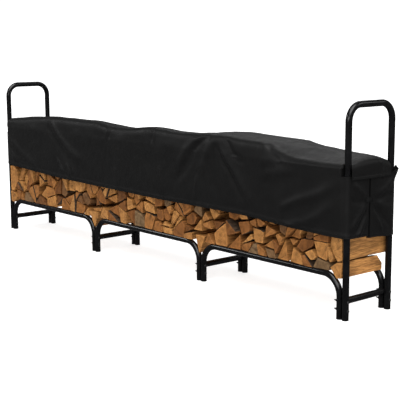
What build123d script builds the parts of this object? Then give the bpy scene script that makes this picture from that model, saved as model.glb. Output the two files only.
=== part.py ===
from build123d import *

import os
from math import cos, hypot, pi, sin
from random import Random

# A bolted steel-tube log rack, stacked with split firewood under a fitted fabric cover.
# Millimetres. +X runs along the rack, -Y is the front and +Z is up. The origin is on the
# ground under the middle of the rack.

# ---- driving dimensions ----
tube_radius = 19.0
tube_wall = 1.6
hoop_x = 1810.0  # from the middle to the plane of each end hoop
hoop_top_z = 1180.0
hoop_bend = 90.0
leg_y = 180.0  # from the middle to the plane of each rail
rail_z = 243.0
rail_bend = 120.0
inner_station_x = 596.5  # from the middle to each inner pair of legs
tab_thickness = 3.0
bolt_heights = (54.0, 103.0)
crossbar_z = 103.0

bolt_radius = 4.0
bolt_point = 1.0  # bevel at the thread's end, and the rim under the dome
bolt_hole_radius = 4.5
bolt_head_radius = 9.0
bolt_head_height = 4.5
head_taper = 50.0
bolt_tail = 12.0  # thread past the nut
nut_height = 6.5
nut_across_corners = 15.0
washer_radius = 9.0
washer_thickness = 1.6

cap_floor = 5.0  # what the tubes stand on
cap_radius = 19.5
cap_bevel = 1.0
cap_plug_height = 16.0
cap_plug_wall = 2.5

log_length = 400.0
stack_top_z = 836.0
log_gap = 4.0  # between one log and the next

cloth = 3.0
cover_front_y = 212.5  # inner face of the hanging cloth
cover_end_x = 1833.5
eaves_z = 862.0  # the top edge of the stack, where the cloth turns down
eaves_low_z = 844.0
skirt_top_z = 838.0
flap_top_z = 797.0
valance_low_z = 778.0
slit_y = -33.0  # where the two end flaps meet
slit_gap = 4.0
hem_left_z = 538.0
hem_middle_z = 490.0
hem_right_z = 459.0

# ---- worked out ----
leg_offset = tube_radius + tab_thickness / 2  # from a joint's plane to each tube's axis
end_station_x = hoop_x - leg_offset
stations = (-end_station_x, -inner_station_x, inner_station_x, end_station_x)
tube_end_z = cap_floor
hoop_inner_x = hoop_x - tube_radius
rail_top = rail_z + tube_radius

os.makedirs("parts", exist_ok=True)


def save(piece, label):
    """Names a piece and writes it to its own file."""
    piece.part.label = label
    export_step(piece.part, f"parts/{label}.step")


# ---- tubes ----
def bent_tube(plane, half_width, top_z, bend):
    """A tube bent into an arch, open at both feet and cross-drilled along X for the bolts."""
    with BuildPart() as tube:
        with BuildLine(plane) as route:
            FilletPolyline(
                (-half_width, tube_end_z),
                (-half_width, top_z),
                (half_width, top_z),
                (half_width, tube_end_z),
                radius=bend,
            )
        with BuildSketch(Plane(origin=route.line @ 0, z_dir=route.line % 0)):
            Circle(tube_radius)
            Circle(tube_radius - tube_wall, mode=Mode.SUBTRACT)
        sweep()
        feet = [plane.from_local_coords((side * half_width, z)) for side in (-1, 1) for z in bolt_heights]
        with Locations(*feet):
            Cylinder(
                bolt_hole_radius,
                2 * tube_radius + 2,
                rotation=(0, 90, 0),
                mode=Mode.SUBTRACT,
            )
    return tube


for side, end_name in ((-1, "left"), (1, "right")):
    hoop = bent_tube(Plane.YZ.offset(side * hoop_x), leg_y, hoop_top_z, hoop_bend)
    save(hoop, f"{end_name}_hoop")

bay_names = ("left", "middle", "right")
for y, row_name in ((-leg_y, "front"), (leg_y, "rear")):
    for bay, bay_name in enumerate(bay_names):
        first_leg = stations[bay] + leg_offset
        last_leg = stations[bay + 1] - leg_offset
        bay_plane = Plane(
            origin=((first_leg + last_leg) / 2, y, 0), x_dir=(1, 0, 0), z_dir=(0, -1, 0)
        )
        rail = bent_tube(bay_plane, (last_leg - first_leg) / 2, rail_z, rail_bend)
        save(rail, f"{row_name}_rail_{bay_name}")

# ---- crossbars, with a bolting tab let into a slot in each end ----
tab_reach = 12.0  # how far a tab's tongue goes into the tube
tab_outer_y = leg_y + 17.0
tab_low_z = 36.0
crossbar_half = leg_y - tube_radius - 0.1
crossbar_names = ("left_end", "left_inner", "right_inner", "right_end")
for x, crossbar_name in zip(stations, crossbar_names):
    with BuildPart() as crossbar:
        with BuildSketch(Plane.XZ.offset(-crossbar_half)):
            with Locations((x, crossbar_z)):
                Circle(tube_radius)
                Circle(tube_radius - tube_wall, mode=Mode.SUBTRACT)
        extrude(amount=2 * crossbar_half)
        with Locations((x, crossbar_half, crossbar_z), (x, -crossbar_half, crossbar_z)):
            Box(tab_thickness, 2 * tab_reach, 2 * tube_radius + 2, mode=Mode.SUBTRACT)
    save(crossbar, f"crossbar_{crossbar_name}")

with BuildPart() as tabs:
    for x in stations:
        for side in (-1, 1):
            with BuildSketch(Plane.YZ.offset(x - tab_thickness / 2)) as tab_outline:
                with BuildLine():
                    Polyline(
                        (side * (crossbar_half - tab_reach), crossbar_z - tube_radius),
                        (side * (crossbar_half - tab_reach), crossbar_z + tube_radius),
                        (side * tab_outer_y, crossbar_z + tube_radius),
                        (side * tab_outer_y, tab_low_z),
                        (side * (crossbar_half + 1), tab_low_z),
                        (side * (crossbar_half + 1), crossbar_z - tube_radius),
                        close=True,
                    )
                make_face()
                with Locations(*[(side * leg_y, z) for z in bolt_heights]):
                    Circle(bolt_hole_radius, mode=Mode.SUBTRACT)
            extrude(amount=tab_thickness)
save(tabs, "crossbar_tabs")

# ---- bolts, nuts and washers ----
# Each bolt passes through two legs and the tab between them. Its nut is on the left of the
# joint, except at the left end, where all nuts are inside the rack too.
joint_half = tube_radius * 2 + tab_thickness / 2
nut_sides = (1, -1, -1, -1)
head_planes = [
    Plane(origin=(x - nut_side * joint_half, y, z), z_dir=(-nut_side, 0, 0))
    for x, nut_side in zip(stations, nut_sides)
    for y in (-leg_y, leg_y)
    for z in bolt_heights
]
nut_planes = [
    Plane(origin=(x + nut_side * joint_half, y, z), z_dir=(nut_side, 0, 0))
    for x, nut_side in zip(stations, nut_sides)
    for y in (-leg_y, leg_y)
    for z in bolt_heights
]
bolt_end = -(2 * joint_half + washer_thickness + nut_height + bolt_tail)

with BuildPart() as one_bolt:
    with BuildSketch(Plane.XY):
        Circle(bolt_head_radius)
    extrude(amount=bolt_point)
    with BuildSketch(Plane.XY.offset(bolt_point)):
        Circle(bolt_head_radius)
    extrude(amount=bolt_head_height - bolt_point, taper=head_taper)
    with BuildSketch(Plane.XY):
        Circle(bolt_radius)
    extrude(amount=bolt_end)
    chamfer(one_bolt.faces().sort_by(Axis.Z)[0].edges(), bolt_point)

with BuildPart() as one_nut:
    with BuildSketch(Plane.XY.offset(washer_thickness)):
        RegularPolygon(nut_across_corners / 2, 6)
        Circle(bolt_radius + 0.05, mode=Mode.SUBTRACT)
    extrude(amount=nut_height)

with BuildPart() as one_washer:
    with BuildSketch(Plane.XY):
        Circle(washer_radius)
        Circle(bolt_radius + 0.4, mode=Mode.SUBTRACT)
    extrude(amount=washer_thickness)

with BuildPart() as one_cap:
    with BuildSketch(Plane.XY):
        Circle(cap_radius)
    extrude(amount=cap_floor)
    chamfer(one_cap.faces().sort_by(Axis.Z)[0].edges(), cap_bevel)
    with BuildSketch(Plane.XY.offset(cap_floor)):
        Circle(tube_radius - tube_wall - 0.1)
        Circle(tube_radius - tube_wall - cap_plug_wall, mode=Mode.SUBTRACT)
    extrude(amount=cap_plug_height)

hoop_feet = [(x, y) for x in (-hoop_x, hoop_x) for y in (-leg_y, leg_y)]
rail_feet = [
    (x, y)
    for bay in range(3)
    for x in (stations[bay] + leg_offset, stations[bay + 1] - leg_offset)
    for y in (-leg_y, leg_y)
]
for label, piece, places in (
    ("carriage_bolts", one_bolt, head_planes),
    ("nuts", one_nut, nut_planes),
    ("washers", one_washer, nut_planes),
    ("hoop_foot_caps", one_cap, hoop_feet),
    ("rail_foot_caps", one_cap, rail_feet),
):
    with BuildPart() as group:
        with Locations(*places):
            add(piece.part)
    save(group, label)


# ---- firewood ----
# Split logs lie across the rack. Each is a convex outline in X and Z, extruded along Y. The
# outlines are the cells around scattered points, some of them split again like a real round.
def keep_side(outline, point, normal):
    """What is left of a convex outline behind a line through a point, against its normal."""
    kept = []
    for (ax, az), (bx, bz) in zip(outline, outline[1:] + outline[:1]):
        a = (ax - point[0]) * normal[0] + (az - point[1]) * normal[1]
        b = (bx - point[0]) * normal[0] + (bz - point[1]) * normal[1]
        if a <= 0:
            kept.append((ax, az))
        if a * b < 0:
            share = a / (a - b)
            kept.append((ax + share * (bx - ax), az + share * (bz - az)))
    return kept


def area_of(outline):
    """Signed area, positive where the outline runs anticlockwise."""
    pairs = zip(outline, outline[1:] + outline[:1])
    return sum(ax * bz - bx * az for (ax, az), (bx, bz) in pairs) / 2


def middle_of(outline):
    return (
        sum(x for x, z in outline) / len(outline),
        sum(z for x, z in outline) / len(outline),
    )


def edges_of(outline):
    """Each edge of an anticlockwise outline as its start and outward unit normal."""
    for (ax, az), (bx, bz) in zip(outline, outline[1:] + outline[:1]):
        length = hypot(bx - ax, bz - az)
        if length > 1e-6:
            yield (ax, az), ((bz - az) / length, (ax - bx) / length)


def shrunk(outline, inset):
    """The outline with each edge moved inwards."""
    kept = outline
    for (x, z), (nx, nz) in edges_of(outline):
        kept = keep_side(kept, (x - nx * inset, z - nz * inset), (nx, nz)) if kept else kept
    return kept


def clear_of(outline, other, gap):
    """The outline cut back behind the edge of another outline that faces it."""
    mx, mz = middle_of(outline)
    reach = [
        ((mx - x) * nx + (mz - z) * nz, (x + nx * gap, z + nz * gap), (-nx, -nz))
        for (x, z), (nx, nz) in edges_of(other)
    ]
    overlaps = outline
    for (x, z), (nx, nz) in edges_of(other):
        overlaps = keep_side(overlaps, (x + nx * gap, z + nz * gap), (nx, nz)) if overlaps else []
    if len(overlaps) < 3:
        return outline
    distance, point, normal = max(reach)
    return keep_side(outline, point, normal) if distance > 0 else []


def without_short_edges(outline, shortest):
    """Drops points that lie nearer than that to the one before."""
    kept = []
    for x, z in outline:
        if not kept or hypot(x - kept[-1][0], z - kept[-1][1]) > shortest:
            kept.append((x, z))
    while len(kept) > 1 and hypot(kept[0][0] - kept[-1][0], kept[0][1] - kept[-1][1]) <= shortest:
        kept.pop()
    return kept


def with_corners(outline, count):
    """The outline with its bluntest corners dropped until that many are left."""
    kept = list(outline)
    while len(kept) > count:
        lost = [
            abs(area_of([kept[i - 1], kept[i], kept[(i + 1) % len(kept)]])) for i in range(len(kept))
        ]
        kept.pop(lost.index(min(lost)))
    return kept


# Logs that sit point-down in the valleys between the rails' bends, and the two at each end.
valley_logs = [
    [(x, 184), (x + 57, 300), (x - 55, 297)] for x in (-inner_station_x, inner_station_x)
]
end_low = [(1700, 281), (1722, 258), (1750, 229), (1787, 233), (1787, 321), (1745, 314)]
end_high = [(1752, 322), (1787, 331), (1787, 452), (1706, 474), (1692, 400)]
end_high_left = [(-1692, 400), (-1696, 500), (-1740, 530), (-1787, 524), (-1787, 331), (-1752, 322)]
end_logs = [end_low, end_high, [(-x, z) for x, z in reversed(end_low)], end_high_left]
set_logs = valley_logs + end_logs

chance = Random(3)
lower_row, upper_row = 84, 145  # row heights: small logs below, larger ones under the cover
lower_pitch, upper_pitch = 106, 145  # from one log to the next along a row
split_share = 0.30  # how many of the cells are split in two
scatter = 0.38  # how far a cell strays from its place in the row, in pitches
cell_floor = rail_top + 2
lower_rows = [(cell_floor + lower_row * (row + 0.5), lower_pitch) for row in range(3)]
upper_rows = [(cell_floor + 3 * lower_row + upper_row * (row + 0.5), upper_pitch) for row in range(2)]
seeds = []
for z, pitch in lower_rows + upper_rows:
    count = round(2 * hoop_inner_x / pitch)
    for i in range(count):
        x = -hoop_inner_x + (i + 0.5 + chance.uniform(-scatter, scatter)) * 2 * hoop_inner_x / count
        seeds.append((x, z + chance.uniform(-scatter, scatter) * pitch))

outlines = []
side_x = hoop_inner_x - log_gap
neighbour_reach = 420  # cells further off than this never meet
shortest_edge, smallest_log = 7, 1500
for x, z in seeds:
    top = stack_top_z + 5 * sin(x / 210)  # the top of the stack rises and falls a little
    cell = [(-side_x, cell_floor), (side_x, cell_floor), (side_x, top), (-side_x, top)]
    for other_x, other_z in seeds:
        if 0 < hypot(other_x - x, other_z - z) < neighbour_reach:
            between = ((x + other_x) / 2, (z + other_z) / 2)
            cell = keep_side(cell, between, (other_x - x, other_z - z))
    halves = [cell]
    if chance.random() < split_share:
        turn = chance.uniform(0, pi)
        middle, normal = middle_of(cell), (cos(turn), sin(turn))
        back = (-normal[0], -normal[1])
        halves = [keep_side(cell, middle, normal), keep_side(cell, middle, back)]
    for outline in halves:
        outline = with_corners(outline, chance.choice((3, 3, 4, 4, 4, 5, 5)))
        cut = chance.uniform(0, 18)
        corner = chance.choice(outline)
        middle = middle_of(outline)
        away = hypot(corner[0] - middle[0], corner[1] - middle[1])
        normal = ((corner[0] - middle[0]) / away, (corner[1] - middle[1]) / away)
        point = (corner[0] - normal[0] * cut, corner[1] - normal[1] * cut)
        outline = keep_side(outline, point, normal)
        for other in set_logs:
            if outline:
                outline = clear_of(outline, other, log_gap / 2)
        if len(outline) > 2:
            outline = without_short_edges(shrunk(outline, log_gap / 2), shortest_edge)
        if len(outline) > 2 and area_of(outline) > smallest_log:
            outlines.append(outline)


short_from_x = 1450  # past here the logs are short, and end inside the rear legs
short_back_low, short_back_high = 150, 158


def lay_logs(label, chosen, front_low, front_high):
    """Extrudes the outlines along Y, each between its own two ends."""
    with BuildPart() as logs:
        for outline in chosen:
            front = -chance.uniform(front_low, front_high)
            if middle_of(outline)[0] > short_from_x:
                back = chance.uniform(short_back_low, short_back_high)
            else:
                back = front + log_length + chance.uniform(-14, 4)
            with BuildSketch(Plane.XZ.offset(-front)):
                with BuildLine():
                    Polyline(*outline, close=True)
                make_face()
            extrude(amount=front - back)
    save(logs, label)


lower_top = cell_floor + 2.6 * lower_row  # a log whose middle is under this is in the lower rows
for bay, bay_name in enumerate(bay_names):
    in_bay = [o for o in outlines if stations[bay] < middle_of(o)[0] <= stations[bay + 1]]
    lower = [o for o in in_bay if middle_of(o)[1] < lower_top]
    upper = [o for o in in_bay if middle_of(o)[1] >= lower_top]
    lay_logs(f"logs_{bay_name}_lower", lower, 196, 207)
    lay_logs(f"logs_{bay_name}_upper", upper, 196, 205)
lay_logs("valley_logs", valley_logs, 206, 207)
lay_logs("end_logs", end_logs, 205, 207)

# Logs laid on top of the stack hold the cover up: most run along it, and two lie across it.
ridge_tops = (  # middle of each log, its half length and the height of its top
    (-1580, 185, 902),
    (-1190, 195, 922),
    (-840, 130, 922),
    (-480, 190, 900),
    (-130, 140, 918),
    (200, 170, 908),
    (920, 105, 934),
    (1370, 145, 908),
    (1640, 110, 888),
)
crossing_tops = ((560, 70, 898), (705, 60, 938), (1130, 70, 920))  # middle, half width, top
crossing_front, crossing_back = -150.0, 118.0
top_logs_z = stack_top_z + 7
with BuildPart() as top_logs:
    for x, half, top in ridge_tops:
        with BuildSketch(Plane.YZ.offset(x - half)):
            with BuildLine():
                Polyline(
                    (-66, top_logs_z),
                    (70, top_logs_z),
                    (58, top - 30),
                    (28, top),
                    (-34, top),
                    close=True,
                )
            make_face()
        extrude(amount=2 * half)
    for x, half, top in crossing_tops:
        with BuildSketch(Plane.XZ.offset(-crossing_front)):
            with BuildLine():
                Polyline(
                    (x - half, top_logs_z),
                    (x + half * 0.9, top_logs_z),
                    (x + half * 0.7, top - 40),
                    (x + half * 0.1, top),
                    (x - half * 0.3, top),
                    close=True,
                )
            make_face()
        extrude(amount=crossing_front - crossing_back)
save(top_logs, "top_logs")

# ---- cover ----
# Heights of the cloth along the rack: over the middle and at the front and back shoulders.
cover_stations = (
    (-1778, 916, 892, 890),
    (-1480, 938, 905, 900),
    (-1130, 934, 900, 896),
    (-800, 937, 898, 896),
    (-480, 912, 886, 884),
    (-130, 934, 894, 890),
    (230, 922, 890, 888),
    (520, 938, 912, 900),
    (705, 960, 950, 936),
    (920, 956, 940, 930),
    (1130, 948, 938, 928),
    (1260, 934, 914, 908),
    (1480, 922, 878, 882),
    (1778, 894, 872, 872),
)
shoulder_y = 168.0
crown_y = 55.0
eaves_round = 2.5  # how far the eaves step in above their lower edge
depth_share = 1 - cloth / 190  # the inner face is this much narrower, so the cloth keeps its depth


def top_section(crown, front, back):
    """The top panel cut across: cloth of even depth from one eaves line to the other."""
    edge_y = cover_front_y - 1.5
    over = [
        (-edge_y, eaves_low_z),
        (-edge_y + eaves_round, eaves_z),
        (-shoulder_y, front),
        (-crown_y, crown),
        (crown_y, crown),
        (shoulder_y, back),
        (edge_y - eaves_round, eaves_z),
        (edge_y, eaves_low_z),
    ]
    under = [(y * depth_share, z - cloth) for y, z in reversed(over[1:-1])]
    return over + [(edge_y - cloth, eaves_low_z)] + under + [(cloth - edge_y, eaves_low_z)]


with BuildPart() as cover_top:
    for x, crown, front, back in cover_stations:
        with BuildSketch(Plane.YZ.offset(x)):
            with BuildLine():
                Polyline(*top_section(crown, front, back), close=True)
            make_face()
    loft(ruled=True)
save(cover_top, "cover_top")

# Past the stack, the top panel narrows to a tongue between the hoop's legs, slopes down and
# ends in a valance that hangs over the tops of the end flaps.
tongue_half = 150.0
tongue_start = 1779.0
tongue_flat, tongue_fall = 18.0, 8.0  # it runs out this far before it slopes down, and falls this much
valance_x = cover_end_x + cloth + 2
valance_top_z = 812.0
for side, end_name, crown in ((-1, "left", 914), (1, "right", 892)):
    with BuildPart() as tongue:
        with BuildSketch(Plane.XZ.offset(-tongue_half)):
            with BuildLine():
                Polyline(
                    (side * tongue_start, crown),
                    (side * (tongue_start + tongue_flat), crown - tongue_fall),
                    (side * (valance_x + cloth), valance_top_z),
                    (side * (valance_x + cloth), valance_low_z),
                    (side * valance_x, valance_low_z),
                    (side * valance_x, valance_top_z - 2),
                    (side * (tongue_start + tongue_flat - 2), crown - tongue_fall - cloth),
                    (side * tongue_start, crown - cloth),
                    close=True,
                )
            make_face()
        extrude(amount=2 * tongue_half)
    save(tongue, f"cover_tongue_{end_name}")

# The front and back of the cover hang from the eaves, and wrap round the hoops as end flaps.
# Beyond the stack each side is cut lower, to clear the hoop's legs when it is lifted.
for y_side, row_name, hem_drop in ((-1, "front", 0), (1, "back", 12)):
    end_reach = cover_end_x + cloth
    with BuildPart() as skirt:
        with BuildSketch(Plane.XZ.offset(cover_front_y if y_side < 0 else -cover_front_y - cloth)):
            with BuildLine():
                Polyline(
                    (-end_reach, flap_top_z),
                    (-tongue_start, flap_top_z),
                    (-tongue_start, skirt_top_z),
                    (tongue_start, skirt_top_z),
                    (tongue_start, flap_top_z),
                    (end_reach, flap_top_z),
                    (end_reach, hem_right_z - hem_drop),
                    (0, hem_middle_z - hem_drop),
                    (-end_reach, hem_left_z - hem_drop),
                    close=True,
                )
            make_face()
        extrude(amount=cloth)
    save(skirt, f"cover_skirt_{row_name}")
    slit_edge = slit_y + y_side * slit_gap / 2
    for side, end_name, hem_z in ((-1, "left", hem_left_z), (1, "right", hem_right_z)):
        corner_z = hem_z - hem_drop
        with BuildPart() as flap:
            with BuildSketch(Plane.YZ.offset(cover_end_x if side > 0 else -cover_end_x - cloth)):
                with BuildLine():
                    Polyline(
                        (slit_edge, flap_top_z),
                        (y_side * cover_front_y, flap_top_z),
                        (y_side * cover_front_y, corner_z),
                        (slit_edge, hem_z),
                        close=True,
                    )
                make_face()
            extrude(amount=cloth)
        save(flap, f"cover_flap_{row_name}_{end_name}")

# A hook-and-loop tab on each front flap holds the slit shut over the back flap.
closure_z = 659.0
closure_depth, closure_width, closure_height = 2.0, 56.0, 30.0
closure_x = cover_end_x + cloth + 0.5 + closure_depth / 2
with BuildPart() as closures:
    for side in (-1, 1):
        with Locations((side * closure_x, slit_y + slit_gap / 2, closure_z)):
            Box(closure_depth, closure_width, closure_height)
save(closures, "cover_closure_tabs")

# A strap ties the cover to each hoop leg.
strap_inner = tube_radius + 0.4
strap_outer = strap_inner + 2
strap_low_z, strap_height = 757.0, 38.0  # just under the top edge of the end flaps
with BuildPart() as straps:
    with BuildSketch(Plane.XY.offset(strap_low_z)):
        with Locations(*hoop_feet):
            Circle(strap_outer)
            Circle(strap_inner, mode=Mode.SUBTRACT)
    extrude(amount=strap_height)
save(straps, "leg_straps")
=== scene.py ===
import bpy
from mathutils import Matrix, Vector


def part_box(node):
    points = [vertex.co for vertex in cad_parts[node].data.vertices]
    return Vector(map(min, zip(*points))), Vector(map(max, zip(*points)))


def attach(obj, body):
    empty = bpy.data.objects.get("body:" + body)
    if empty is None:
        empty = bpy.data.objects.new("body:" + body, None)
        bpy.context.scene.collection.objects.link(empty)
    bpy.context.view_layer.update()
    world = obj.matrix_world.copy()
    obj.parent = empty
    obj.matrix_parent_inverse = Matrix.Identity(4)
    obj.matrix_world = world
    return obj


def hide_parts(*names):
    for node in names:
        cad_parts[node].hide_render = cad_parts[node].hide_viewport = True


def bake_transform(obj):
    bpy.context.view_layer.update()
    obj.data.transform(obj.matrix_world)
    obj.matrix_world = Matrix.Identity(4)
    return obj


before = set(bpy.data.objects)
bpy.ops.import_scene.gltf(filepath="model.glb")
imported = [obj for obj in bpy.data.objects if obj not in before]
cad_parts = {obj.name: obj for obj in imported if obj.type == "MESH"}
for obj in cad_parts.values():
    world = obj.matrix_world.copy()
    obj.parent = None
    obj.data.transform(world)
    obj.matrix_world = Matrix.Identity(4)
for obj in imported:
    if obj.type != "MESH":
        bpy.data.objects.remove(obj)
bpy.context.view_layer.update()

import math
from random import Random

import bmesh
import bpy
import numpy as np
from mathutils import Matrix, Vector, noise

# A steel-tube log rack, full of split firewood, under a black fabric cover. Everything is in
# metres: +X runs along the rack, -Y is the front, +Z is up and the ground is at z = 0.

# ---- places, read from the frame ----
leg_low, leg_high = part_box("right_hoop")
tube_radius = (leg_high.x - leg_low.x) / 2
hoop_x = (leg_high.x + leg_low.x) / 2
leg_y = leg_high.y - tube_radius
skirt_low, skirt_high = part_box("cover_skirt_front")
skirt_y = -skirt_low.y  # outer face of the hanging cloth
wrap_x = skirt_high.x  # outer face of the end flaps
flap_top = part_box("cover_flap_front_right")[1].z
slit_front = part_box("cover_flap_front_right")[1].y
slit_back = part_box("cover_flap_back_right")[0].y
closure_low, closure_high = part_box("cover_closure_tabs")
closure_z = (closure_low.z + closure_high.z) / 2
closure_width = closure_high.z - closure_low.z
rail_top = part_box("front_rail_middle")[1].z


# ---- small tools ----
def smooth_step(low, high, value):
    t = np.clip((value - low) / (high - low), 0, 1)
    return t * t * (3 - 2 * t)


def blurred(values, spacing, reach):
    """Values along a line, each replaced by a bell-weighted mean of those around it."""
    width = max(1, int(3 * reach / spacing))
    kernel = np.exp(-0.5 * (np.arange(-width, width + 1) * spacing / reach) ** 2)
    before = 2 * values[0] - values[width:0:-1]
    after = 2 * values[-1] - values[-2 : -width - 2 : -1]
    return np.convolve(np.concatenate([before, values, after]), kernel / kernel.sum(), mode="valid")


def along_path(path):
    """How far along a path each of its points is."""
    return np.concatenate([[0], np.cumsum(np.linalg.norm(np.diff(path, axis=0), axis=1))])


def soft_curve(knots, fine, reach):
    """Both coordinates of a route through knots, at each distance in fine, with corners softened."""
    chord, step = along_path(knots), fine[1] - fine[0]
    return [blurred(np.interp(fine, chord, values), step, reach) for values in np.transpose(knots)]


def ripple(scale, seed, *where):
    """Soft noise from -1 to 1 over grids of coordinates. scale is how many bumps are in a metre."""
    shift = Vector((seed * 7.31, seed * 3.17, seed * 5.53))
    places = np.stack(where, -1).reshape(-1, 3)
    values = [noise.noise(Vector(p * scale) + shift) for p in places]
    return np.array(values).reshape(where[0].shape)


def facing(points, turn):
    """The way that each point of a grid faces. A turn of -1 turns them all over."""
    normal = np.cross(np.gradient(points, axis=0), np.gradient(points, axis=1)) * turn
    return normal / (np.linalg.norm(normal, axis=2)[..., None] + 1e-12)


def quads(grid, flip=False):
    """The faces between neighbours in a grid of point numbers, where -1 is no point."""
    parts = (grid[:-1, :-1], grid[1:, :-1], grid[1:, 1:], grid[:-1, 1:])
    found = [quad for quad in zip(*(part.ravel().tolist() for part in parts)) if min(quad) >= 0]
    return [quad[::-1] for quad in found] if flip else found


def rings(rows, count):
    """The faces between rows of points, each row being a ring."""
    grid = np.arange(rows * count).reshape(rows, count)
    return quads(np.column_stack([grid, grid[:, 0]]).T)


def caps(rows, count):
    """The two faces that close the first and the last ring."""
    last = (rows - 1) * count
    return [tuple(reversed(range(count))), tuple(range(last, last + count))]


def turned(rows, sides):
    """A shape along +Z from rows of (radius, height). A radius may be a function of the angle."""
    points = []
    for radius, height in rows:
        for angle in (2 * math.pi * k / sides for k in range(sides)):
            here = radius(angle) if callable(radius) else radius
            points.append((here * math.cos(angle), here * math.sin(angle), height))
    return points, rings(len(rows), sides)


def new_object(name, vertices, faces, materials, smooth_angle=None):
    mesh = bpy.data.meshes.new(name)
    mesh.from_pydata([tuple(v) for v in vertices], [], [tuple(f) for f in faces])
    mesh.update()
    for material in materials:
        mesh.materials.append(material)
    if smooth_angle is not None:
        mesh.shade_smooth()
        mesh.set_sharp_from_angle(angle=math.radians(smooth_angle))
    made = bpy.data.objects.new(name, mesh)
    bpy.context.scene.collection.objects.link(made)
    return made


def mended(made, merge=0.0):
    """Turns every face of a closed mesh outward, after joining points closer than merge."""
    cleaned = bmesh.new()
    cleaned.from_mesh(made.data)
    if merge:
        bmesh.ops.remove_doubles(cleaned, verts=cleaned.verts, dist=merge)
    bmesh.ops.recalc_face_normals(cleaned, faces=cleaned.faces)
    cleaned.to_mesh(made.data)
    cleaned.free()
    return made


def add_shape(points, faces, more, more_faces):
    """Adds one shape's points and faces to those of a larger one."""
    base = len(points)
    points += list(more)
    faces += [tuple(base + i for i in face) for face in more_faces]


# ---- materials ----
class Shading:
    """A Principled material and the nodes that feed it."""

    def __init__(self, name, color, roughness, specular=0.5, **fixed):
        self.material = bpy.data.materials.new(name)
        self.material.use_nodes = True
        self.nodes = self.material.node_tree.nodes
        self.shader = self.nodes["Principled BSDF"]
        self.shader.inputs["Base Color"].default_value = (*color, 1)
        self.shader.inputs["Roughness"].default_value = roughness
        self.shader.inputs["Specular IOR Level"].default_value = specular
        for socket, value in fixed.items():
            self.shader.inputs[socket.replace("_", " ")].default_value = value

    def add(self, kind, output=0, **inputs):
        """Adds a node. An input is a value or another node's output socket."""
        made = self.nodes.new(kind)
        for key, value in inputs.items():
            if hasattr(made, key):
                setattr(made, key, value)
                continue
            numbered = key.startswith("in") and key[2:].isdigit()  # such as in0
            self.put(made.inputs[int(key[2:]) if numbered else key.replace("_", " ")], value)
        return made.outputs[output]

    def put(self, socket, value):
        if isinstance(value, bpy.types.NodeSocket):
            self.material.node_tree.links.new(value, socket)
        else:
            socket.default_value = value

    def feed(self, socket, value):
        self.put(self.shader.inputs[socket], value)

    def place(self, stretch=(1, 1, 1), attribute=None, uv=False):
        """Texture coordinates in metres: the object's own, an attribute's or the cloth's."""
        if attribute:
            source = self.add("ShaderNodeAttribute", 1, attribute_name=attribute)
        elif uv:
            source = self.add("ShaderNodeUVMap", 0)
        else:
            source = self.add("ShaderNodeTexCoord", 3)
        return self.add("ShaderNodeMapping", 0, Vector=source, Scale=stretch)

    def noise(self, where, scale, detail=3, roughness=0.55):
        return self.add(
            "ShaderNodeTexNoise", 0, Vector=where, Scale=scale, Detail=detail, Roughness=roughness
        )

    def ramp(self, value, *stops):
        """A colour ramp. Each stop is (position, colour or grey)."""
        made = self.nodes.new("ShaderNodeValToRGB")
        elements = made.color_ramp.elements
        while len(elements) < len(stops):
            elements.new(0.5)
        for element, (position, color) in zip(elements, stops):
            element.position = position
            element.color = (*color, 1) if hasattr(color, "__len__") else (color, color, color, 1)
        self.put(made.inputs[0], value)
        return made.outputs[0]

    def mix(self, factor, a, b, blend="MIX"):
        made = self.nodes.new("ShaderNodeMix")
        made.data_type = "RGBA"
        made.blend_type = blend
        for index, value in ((0, factor), (6, a), (7, b)):
            if isinstance(value, tuple) and len(value) == 3:
                value = (*value, 1)
            self.put(made.inputs[index], value)
        return made.outputs[2]

    def math(self, operation, a, b=0.0):
        return self.add("ShaderNodeMath", 0, operation=operation, in0=a, in1=b)

    def bump(self, height, distance, strength=1.0, under=None):
        made = self.nodes.new("ShaderNodeBump")
        made.inputs["Strength"].default_value = strength
        made.inputs["Distance"].default_value = distance
        self.put(made.inputs["Height"], height)
        if under is not None:
            self.put(made.inputs["Normal"], under)
        return made.outputs[0]


def grained(name, color, roughness, specular, tones, gloss=None, grain=None, **fixed):
    """A material that varies with noise. tones and gloss hold a noise's scale and detail, then the
    stops of a ramp; grain holds the bump's noise, distance and strength."""
    s = Shading(name, color, roughness, specular, **fixed)
    here = s.place()
    s.feed("Base Color", s.ramp(s.noise(here, *tones[0]), *tones[1:]))
    if gloss:
        s.feed("Roughness", s.ramp(s.noise(here, *gloss[0]), *gloss[1:]))
    if grain:
        s.feed("Normal", s.bump(s.noise(here, *grain[0]), *grain[1:]))
    return s.material


def cover_cloth():
    """Coated woven polyester: a fine two-way weave, soft creasing and a little dust."""
    s = Shading("cover_cloth", (0.005, 0.005, 0.005), 0.5, 0.2, Sheen_Weight=0.01, Sheen_Roughness=0.4)
    here = s.place()
    thread = s.place(uv=True)
    warp = s.add("ShaderNodeTexWave", 1, bands_direction="X", Vector=thread, Scale=240.0)
    weft = s.add("ShaderNodeTexWave", 1, bands_direction="Y", Vector=thread, Scale=240.0)
    weave = s.math("MAXIMUM", warp, weft)
    slub = s.noise(s.place((1, 30, 1), uv=True), 60, 2)
    crease = s.noise(here, 22, 4, 0.6)
    dust = s.noise(here, 5, 5, 0.6)
    color = s.ramp(dust, (0.35, (0.0030, 0.0028, 0.0028)), (0.75, (0.0048, 0.0046, 0.0044)))
    color = s.mix(s.math("MULTIPLY", slub, 0.25), color, (0.009, 0.009, 0.0094))
    s.feed("Base Color", s.mix(s.math("MULTIPLY", weave, 0.3), color, (0.003, 0.003, 0.003)))
    s.feed("Roughness", s.ramp(crease, (0.3, 0.44), (0.75, 0.58)))
    creased = s.bump(crease, 0.0022, 0.35)
    s.feed("Normal", s.bump(weave, 0.0002, 0.5, creased))
    return s.material


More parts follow.
